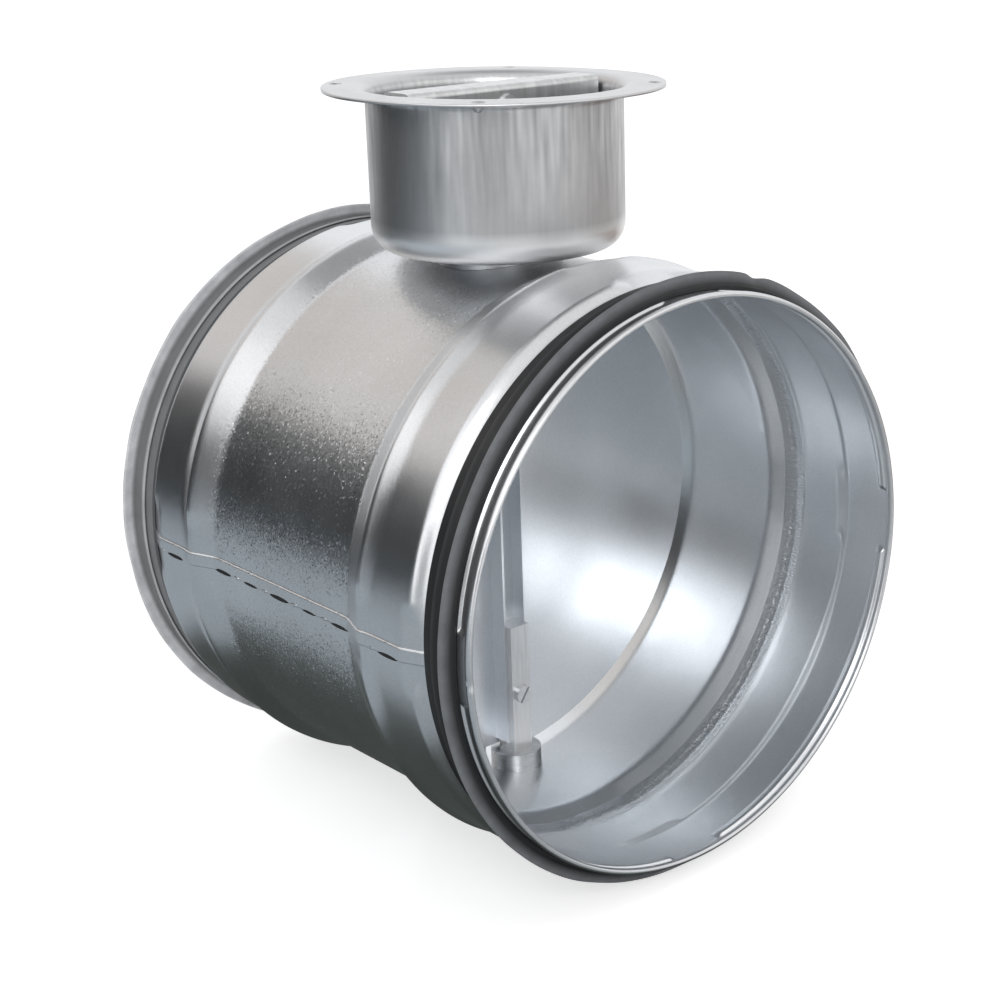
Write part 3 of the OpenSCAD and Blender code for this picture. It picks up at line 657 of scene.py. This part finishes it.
def baked(name, tree, values):
    """Runs a tree on an empty mesh and returns the plain mesh it makes."""
    holder = bpy.data.objects.new(name + "_maker", bpy.data.meshes.new(name + "_maker"))
    bpy.context.scene.collection.objects.link(holder)
    modifier = holder.modifiers.new("make", "NODES")
    modifier.node_group = tree
    for item in tree.interface.items_tree:
        if item.in_out == "INPUT" and item.name in values:
            modifier[item.identifier] = values[item.name]
    seen = holder.evaluated_get(bpy.context.evaluated_depsgraph_get())
    mesh = bpy.data.meshes.new_from_object(seen)
    mesh.name = name
    mesh.polygons.foreach_set("use_smooth", [True] * len(mesh.polygons))
    holder.modifiers.clear()
    bpy.data.objects.remove(holder)
    return mesh


def pinch_joint(mesh):
    """Presses a small crease into a rim where its two ends meet."""
    for vertex in mesh.vertices:
        x, y, z = vertex.co
        off = wrapped(math.atan2(z, x) - CREASE_AT) * math.hypot(x, z)
        press = CREASE_DEPTH * MM * math.exp(-((off / (CREASE_WIDTH * MM)) ** 2))
        inwards = 1 - press / (CREASE_R * MM)
        vertex.co = (x * inwards, y - math.copysign(press, y), z * inwards)


rims = rim_tree(casing_finish)
for side, place in (("front", -RIM_AT), ("rear", RIM_AT)):
    mesh = baked(side + "_rim", rims, {"Place": place * MM})
    pinch_joint(mesh)
    settle(side + "_rim", mesh, casing_finish, ["casing_tube"], "casing")

# %% [markdown]
# ### Gaskets
#
# A gasket is a band of rubber that lies behind the spigot's groove. It has a tall lip that stands
# nearly upright and a small second lip behind it. Its section is a line of corners with each
# corner slightly rounded, carried round the duct. A lip is soft, so its tip wanders by a fraction
# of a millimetre as it goes round.

# %% Round off the corners of a section


def rounded(corners, radius, steps=3, longest=1.6):
    """A closed line of points through the corners, each corner rounded."""
    corners = np.array(corners, float)
    line = []
    for before, here, after in zip(np.roll(corners, 1, 0), corners, np.roll(corners, -1, 0)):
        to_before, to_after = before - here, after - here
        reach = min(radius, np.linalg.norm(to_before) / 2.5, np.linalg.norm(to_after) / 2.5)
        start = here + to_before / np.linalg.norm(to_before) * reach
        end = here + to_after / np.linalg.norm(to_after) * reach
        for t in np.linspace(0, 1, steps + 1):
            line.append((1 - t) ** 2 * start + 2 * t * (1 - t) * here + t * t * end)
    full = []
    for here, after in zip(line, line[1:] + line[:1]):
        parts = max(1, int(np.linalg.norm(after - here) / longest))
        full += [here + (after - here) * i / parts for i in range(parts)]
    return np.array(full)


# Distances from the duct's axis, and depths behind the rim: a lip's two flanks at its foot and at
# its tip.
GASKET_IN, GASKET_OUT, LIP_TIP, BACK_LIP_TIP, TIP_SLANT = 79.63, 80.73, 84.6, 81.6, 0.5
GASKET_START, GASKET_END = 5.0, 16.6
LIP_FOOT, LIP_END, BACK_FOOT, BACK_END = (5.1, 6.6), (6.4, 6.9), (10.4, 11.9), (12.9, 13.4)
gasket_corners = [(GASKET_IN, GASKET_START), (GASKET_IN, GASKET_END), (GASKET_OUT, GASKET_END),
                  (GASKET_OUT, BACK_FOOT[1]), (BACK_LIP_TIP - TIP_SLANT, BACK_END[1]),
                  (BACK_LIP_TIP, BACK_END[0]), (GASKET_OUT, BACK_FOOT[0]),
                  (GASKET_OUT, LIP_FOOT[1]), (LIP_TIP - TIP_SLANT, LIP_END[1]),
                  (LIP_TIP, LIP_END[0]), (GASKET_OUT, LIP_FOOT[0]), (GASKET_OUT, GASKET_START)]
gasket_line = rounded(gasket_corners, 0.25)
print("gasket section points:", len(gasket_line))

# %% Carry the section round, with a wandering lip
ROUND_COLUMNS, LIP_SHRINK, NICK_AT, NICK_WIDTH, NICK_DEPTH = 540, 0.22, math.radians(72), 0.035, 0.9
# How many waves go round the lip, and how high each stands.
LIP_WAVES = ((2, 0.10), (5, 0.09), (9, 0.07), (17, 0.05), (31, 0.025))


def gasket_points(side, seed):
    turn = np.linspace(0, 2 * np.pi, ROUND_COLUMNS, endpoint=False)[None, :]
    radius, depth = gasket_line[:, :1], gasket_line[:, 1:]
    free = np.clip((radius - GASKET_OUT) / (LIP_TIP - GASKET_OUT), 0, 1)
    dice = np.random.default_rng(seed)
    wander = sum(np.sin(n * turn + dice.uniform(0, 6.28)) * size for n, size in LIP_WAVES)
    nick = np.exp(-((wrapped(turn - NICK_AT) / NICK_WIDTH) ** 2))
    radius = radius - free * (LIP_SHRINK + wander * 0.8 + nick * NICK_DEPTH)
    depth = depth + free * (wander * 1.6 + nick * 0.8)
    along = side * (RIM_END - depth)
    return np.stack([radius * np.cos(turn), along + 0 * turn, radius * np.sin(turn)], -1) * MM


for name, side, seed, finish in (("front_gasket", -1, 3, rubber_finish),
                                 ("rear_gasket", 1, 5, dust_and_sheen_rubber)):
    grid_skin(name + "_skin", gasket_points(side, seed), finish, [name], "casing")

# %% [markdown]
# ### The insulation cup
#
# The cup is one sheet drawn down into a die: a floor with a hole for the bush, a rounded corner,
# a wall and a flange. Shallow upright flutes are left below the flange, the flange itself is
# never quite flat, and four pips are pushed down through it.

# %% The cup's line of sheet
HOLE_R, FLOOR_FLAT_R, FLANGE_FLAT_R, FLANGE_R = 7.03, 28.0, 39.6, 47.2
CORNER_WIDTH, CORNER_HEIGHT, FLANGE_BEND, WALL_START, WALL_END = 5.6, 7.0, 3.0, 91.0, 121.0
PIP_AT, PIP_R, PIP_EDGE, PIP_DEPTH = 44.0, 1.9, 1.1, 1.6
FLUTES_START, FLUTES_FULL, FLUTES_END, FLUTES_REACH = 92.0, 117.0, 125.5, 37.0
FLUTE_DEPTH, WALL_INSET = 0.035, 0.05
FLANGE_SAG, SAG_START, SAG_WIDTH = 0.16, 40.0, 6.0


def quarter(cx, cz, rx, rz, start, end, steps):
    angles = np.radians(np.linspace(start, end, steps))
    return [(cx + rx * math.cos(a), cz + rz * math.sin(a)) for a in angles]


def cup_line(depth):
    line = [(r, FLOOR_Z + depth) for r in np.linspace(HOLE_R, FLOOR_FLAT_R, 7)]
    line += quarter(CUP_R - CORNER_WIDTH, FLOOR_Z + CORNER_HEIGHT, CORNER_WIDTH - depth,
                    CORNER_HEIGHT - depth, -90, 0, 12)
    line += [(CUP_R - depth, z) for z in np.linspace(WALL_START, WALL_END, 14)]
    line += quarter(CUP_R + FLANGE_BEND, FLANGE_Z - FLANGE_BEND - CUP_SHEET, FLANGE_BEND + depth,
                    FLANGE_BEND + depth, 180, 90, 10)
    line += [(r, FLANGE_Z - CUP_SHEET + depth) for r in np.linspace(FLANGE_FLAT_R, FLANGE_R, 18)]
    return np.array(line)


def cup_points():
    turn = np.linspace(0, 2 * np.pi, ROUND_COLUMNS, endpoint=False)[None, :]
    line = np.concatenate([cup_line(0), cup_line(CUP_SHEET)[::-1]])
    radius, height = line[:, :1] + 0 * turn, line[:, 1:] + 0 * turn
    wall = smooth_step((height - FLUTES_START) / (FLUTES_FULL - FLUTES_START))
    wall = wall * smooth_step((FLUTES_END - height) / 2) * (radius < FLUTES_REACH)
    flutes = waves(21, height * MM * 0.25, turn, 1.0, 12, 60)
    radius = radius + wall * flutes * FLUTE_DEPTH - wall * WALL_INSET
    flat = smooth_step((radius - SAG_START) / SAG_WIDTH)
    height = height - flat * (FLANGE_SAG + 0.10 * np.sin(2 * turn + 0.6) + 0.05 * np.sin(5 * turn))
    for pip in range(4):
        angle = np.pi / 4 + pip * np.pi / 2
        off = np.hypot(radius * np.cos(turn) - PIP_AT * math.cos(angle),
                       radius * np.sin(turn) - PIP_AT * math.sin(angle))
        press = smooth_step((PIP_R - off) / PIP_EDGE) * (height > WALL_END)
        height = height - PIP_DEPTH * press
    return np.stack([radius * np.cos(turn), radius * np.sin(turn), height], -1) * MM


grid_skin("cup_skin", cup_points(), cup_finish, ["insulation_cup"], "casing")

# %% [markdown]
# ### Marks along the lap seam
#
# The lap's lower edge lies open in long dashes, whose shade is drawn as dark slits in a painted
# shadow finish, and is clinched down between them, which leaves bright pips. Its upper edge has
# smaller pips. All of these repeat at
# a steady pitch, so one tree places a small rounded bar at every point of a line, turns the line
# on to the tube, and makes the copies real.

# %% A tree that sets short marks along a line
SMALLEST_MARK, LARGEST_MARK, GAP_DUST = 0.75, 1.15, 900


def clinch_tree(finish):
    tree = bpy.data.node_groups.new("clinch_row", "GeometryNodeTree")
    face = tree.interface
    for name, kind, value in (("Count", "Int", 16), ("Start", "Vector", (0, 0, 0)),
                              ("Step", "Vector", (0, 0.005, 0)), ("Size", "Vector", (1, 1, 1)),
                              ("Turn", "Float", 0.0), ("Seed", "Int", 4)):
        socket = face.new_socket(name, in_out="INPUT", socket_type="NodeSocket" + kind)
        socket.default_value = value
    face.new_socket("Geometry", in_out="OUTPUT", socket_type="NodeSocketGeometry")
    node, link = tree.nodes.new, tree.links.new
    given, row = node("NodeGroupInput"), node("GeometryNodeMeshLine")
    mark = node("GeometryNodeMeshUVSphere")
    mark.inputs["Segments"].default_value = 10
    mark.inputs["Rings"].default_value = 6
    mark.inputs["Radius"].default_value = 0.5
    vary = node("FunctionNodeRandomValue")
    vary.inputs[2].default_value, vary.inputs[3].default_value = SMALLEST_MARK, LARGEST_MARK
    grow = node("ShaderNodeVectorMath")
    grow.operation = "SCALE"
    place, face_out = node("GeometryNodeInstanceOnPoints"), node("ShaderNodeCombineXYZ")
    real, dress = node("GeometryNodeRealizeInstances"), node("GeometryNodeSetMaterial")
    result = node("NodeGroupOutput")
    dress.inputs["Material"].default_value = finish
    link(given.outputs["Count"], row.inputs["Count"])
    link(given.outputs["Start"], row.inputs["Start Location"])
    link(given.outputs["Step"], row.inputs["Offset"])
    link(row.outputs["Mesh"], place.inputs["Points"])
    link(mark.outputs["Mesh"], place.inputs["Instance"])
    link(given.outputs["Turn"], face_out.inputs[1])
    link(face_out.outputs[0], place.inputs["Rotation"])
    link(given.outputs["Size"], grow.inputs[0])
    link(given.outputs["Seed"], vary.inputs["Seed"])
    link(vary.outputs[1], grow.inputs["Scale"])
    link(grow.outputs[0], place.inputs["Scale"])
    link(place.outputs["Instances"], real.inputs["Geometry"])
    link(real.outputs["Geometry"], dress.inputs["Geometry"])
    link(dress.outputs["Geometry"], result.inputs["Geometry"])
    return tree


def open_gap():
    """Painted shadow: near-black colour for the unlit gap under the lap's edge."""
    finish, add, wire = new_finish("seam_shadow", 0.0, 0.1)
    dust = noise(add, on_part(add), GAP_DUST, 3, 0.6)
    # Painted shadow: the slits are coloured near black for the shade in the gap.
    wire(shade_between(add, dust, (0.006, 0.006, 0.007), (0.05, 0.052, 0.055)), "Base Color")
    wire(ramp(add, dust, 0.3, 0.7, 0.7, 0.9), "Roughness")
    return finish


mark_finish = {"slit": open_gap(), "pip": casing_finish}
mark_tree = {kind: clinch_tree(finish) for kind, finish in mark_finish.items()}
print("seam marks:", ", ".join(mark_tree))

# %% [markdown]
# The long row runs along the tube's middle and ends before the sheet starts to swell, and each
# stop band has a single mark of every kind. The slits are sunk a little into the lap's edge.

# %% Set the rows of marks
SEAM_PITCH, SEAM_EDGE, EDGE_SHIFT = 14.0, 1.6, 0.1
SLIT, PIP, TOP_PIP = (0.3, 8.6, 1.2), (0.3, 2.6, 1.0), (0.36, 2.2, 0.6)
SLIT_SUNK, TOP_PIP_SUNK = 0.04, 0.1


def clinch_row(name, kind, offset, start, count, radius, size, seed):
    """A row of marks at an offset round the tube from the seam's middle."""
    angle = SEAM_AT + offset / CASING_R
    place = Vector((radius * math.cos(angle), start, radius * math.sin(angle))) * MM
    mesh = baked(name, mark_tree[kind],
                 {"Count": count, "Start": place, "Step": (0, SEAM_PITCH * MM, 0),
                  "Size": Vector(size) * MM, "Turn": -angle, "Seed": seed})
    return settle(name, mesh, mark_finish[kind], ["casing_tube"], "casing")


for stretch, start, count, radius in (("middle", -2 * SEAM_PITCH, 5, CASING_R),
                                      ("front", -52, 1, BAND_R), ("rear", 49, 1, BAND_R)):
    top = radius + SEAM_HEIGHT
    clinch_row("seam_slit_" + stretch, "slit", SEAM_EDGE + EDGE_SHIFT, start, count,
               top - SLIT_SUNK, SLIT, 4)
    clinch_row("seam_pip_" + stretch, "pip", SEAM_EDGE - EDGE_SHIFT, start + SEAM_PITCH / 2,
               max(1, count - 1), top, PIP, 5)
    clinch_row("seam_top_pip_" + stretch, "pip", -SEAM_EDGE, start, count,
               top - TOP_PIP_SUNK, TOP_PIP, 6)

# %% [markdown]
# ## Studio
#
# A pale floor, a white surround that looks whiter than the light it gives, two soft lamps, and
# cards that only reflections see. Bright metal takes its look from what it reflects: the bright
# cards light the tube's left shoulder and its back, and the dark ones give it its dark side.

# %% Floor, surround, lamps and cards
GROUND_Z, FLOOR_REACH = cad_box[0][2] - 0.2 * MM, 6.0
SURROUND_LIGHT, SURROUND_SEEN = 0.55, 1.0


def emission_only(name, colour):
    finish = bpy.data.materials.new(name)
    finish.use_nodes = True
    tree = finish.node_tree
    tree.nodes.clear()
    glow = tree.nodes.new("ShaderNodeEmission")
    glow.inputs["Color"].default_value = (*colour, 1)
    out = tree.nodes.new("ShaderNodeOutputMaterial")
    tree.links.new(glow.outputs[0], out.inputs[0])
    return finish


def aimed(place, aim, axis):
    """A turn and a place that point one axis of a thing at an aim."""
    facing = (Vector(aim) - Vector(place)).to_track_quat(axis, "Y")
    return Matrix.Translation(place) @ facing.to_matrix().to_4x4()


def card(name, place, aim, width, height, colour, spin=0.0):
    """A plain card that only reflections see."""
    mesh = bpy.data.meshes.new(name)
    w, h = width / 2, height / 2
    mesh.from_pydata([(-w, -h, 0), (w, -h, 0), (w, h, 0), (-w, h, 0)], [], [(0, 1, 2, 3)])
    mesh.materials.append(emission_only(name, colour))
    piece = bpy.data.objects.new(name, mesh)
    bpy.context.scene.collection.objects.link(piece)
    piece.matrix_world = aimed(place, aim, "Z") @ Matrix.Rotation(spin, 4, "Z")
    for way in ("camera", "diffuse", "transmission", "volume_scatter", "shadow"):
        setattr(piece, "visible_" + way, False)


def ground_card(name, x, y, layer, width, height, colour, spin=0.0):
    """A card that lies on the floor, face up, some millimetres above it."""
    z = GROUND_Z + layer * MM
    card(name, (x, y, z), (x, y, z + 1), width, height, colour, spin)


def lamp(name, place, aim, width, height, power, colour):
    data = bpy.data.lights.new(name, "AREA")
    data.shape, data.size, data.size_y = "RECTANGLE", width, height
    data.energy, data.color = power, colour
    piece = bpy.data.objects.new(name, data)
    bpy.context.scene.collection.objects.link(piece)
    piece.matrix_world = aimed(place, aim, "-Z")


def seen_directly(tree):
    """1 for what the camera sees, straight or in metal or glass, and 0 for light on the part."""
    path = tree.nodes.new("ShaderNodeLightPath")
    either = tree.nodes.new("ShaderNodeMath")
    either.operation = "MAXIMUM"
    tree.links.new(path.outputs["Is Camera Ray"], either.inputs[0])
    tree.links.new(path.outputs["Is Glossy Ray"], either.inputs[1])
    any_of = tree.nodes.new("ShaderNodeMath")
    any_of.operation = "MAXIMUM"
    tree.links.new(either.outputs[0], any_of.inputs[0])
    tree.links.new(path.outputs["Is Transmission Ray"], any_of.inputs[1])
    return any_of.outputs[0]


def pale_floor():
    mesh = bpy.data.meshes.new("floor")
    far = FLOOR_REACH
    mesh.from_pydata([(-far, -far, GROUND_Z), (far, -far, GROUND_Z), (far, far, GROUND_Z),
                      (-far, far, GROUND_Z)], [], [(0, 1, 2, 3)])
    finish = bpy.data.materials.new("floor_white")
    finish.use_nodes = True
    tree = finish.node_tree
    shader = tree.nodes["Principled BSDF"]
    shader.inputs["Base Color"].default_value = (0.9, 0.9, 0.9, 1)
    shader.inputs["Roughness"].default_value = 0.9
    tree.links.new(seen_directly(tree), shader.inputs["Emission Strength"])
    shader.inputs["Emission Color"].default_value = (0.6, 0.6, 0.6, 1)
    mesh.materials.append(finish)
    floor = bpy.data.objects.new("floor", mesh)
    bpy.context.scene.collection.objects.link(floor)


def white_surround():
    world = bpy.data.worlds.new("surround")
    world.use_nodes = True
    bpy.context.scene.world = world
    tree = world.node_tree
    level = tree.nodes.new("ShaderNodeMapRange")
    level.inputs["To Min"].default_value = SURROUND_LIGHT
    level.inputs["To Max"].default_value = SURROUND_SEEN
    tree.links.new(seen_directly(tree), level.inputs["Value"])
    tree.links.new(level.outputs["Result"], tree.nodes["Background"].inputs["Strength"])
    tree.nodes["Background"].inputs["Color"].default_value = (1, 1, 1, 1)


print("studio helpers ready")

# %% [markdown]
# ### Where lamps and cards stand
#
# Places and sizes are in metres. The soft cards are bright, and stand where the sheet should
# shine. Those on the ground are what the tube's lower side, the cup and the bore reflect.

# %% Set up the studio
MIDDLE, NEAR_BLACK = (0, 0, 0), (0.01, 0.011, 0.012)
LEFT_LOW, LEFT_BELOW = (-0.506, 0.360, 0.10), (-0.565, 0.268, -0.045)
FRONT_LOW = (-0.87, -0.93, 0.09)
pale_floor()
white_surround()
lamp("key", (-0.95, -1.13, 0.90), MIDDLE, 0.75, 0.72, 7.0, (1.0, 1.0, 1.0))
lamp("fill", (0.8, -1.3, 1.0), MIDDLE, 1.0, 0.9, 0.9, (1.0, 0.95, 0.90))
card("left_soft", (-1.03, 0.145, 0.94), MIDDLE, 1.6, 0.62, (1.45, 1.45, 1.45))
card("side_soft", (-1.22, -0.44, 0.2), MIDDLE, 0.7, 0.6, (1.5, 1.5, 1.5))
card("right_soft", (0.75, 0.75, 0.62), MIDDLE, 1.0, 1.1, (1.15, 1.16, 1.18))
card("zenith", (0.24, 0.28, 1.4), (0.24, 0.28, 0), 1.0, 0.9, (0.34, 0.345, 0.35))
card("warm_ceiling", (-0.29, 1.25, 0.93), MIDDLE, 1.66, 0.78, (0.80, 0.75, 0.71))
card("dark_left", LEFT_LOW, (0, 0, LEFT_LOW[2]), 0.85, 0.38, NEAR_BLACK)
card("grey_low", LEFT_BELOW, (0, 0, LEFT_BELOW[2]), 0.47, 0.09, (0.40, 0.45, 0.49))
card("dark_front", FRONT_LOW, (0, 0, FRONT_LOW[2]), 1.0, 0.44, (0.02, 0.022, 0.024))
ground_card("dark_ground", -0.8, 0.8, 0.5, 1.6, 1.6, NEAR_BLACK)
ground_card("grey_ground", -0.767, 0.2765, 1, 1.45, 0.9, (0.42, 0.47, 0.51), math.radians(137))
ground_card("ground_shade", 0.0, 0.02, 2, 0.24, 0.22, (0.055, 0.062, 0.056))
ground_card("front_ground", -0.12, -0.25, 1, 0.6, 0.34, (0.44, 0.47, 0.49))
ground_card("brown_ground", 0.65, -0.35, 1.2, 0.8, 0.9, (0.22, 0.165, 0.135))
bpy.context.scene.view_settings.view_transform = "Standard"
print("studio ready")
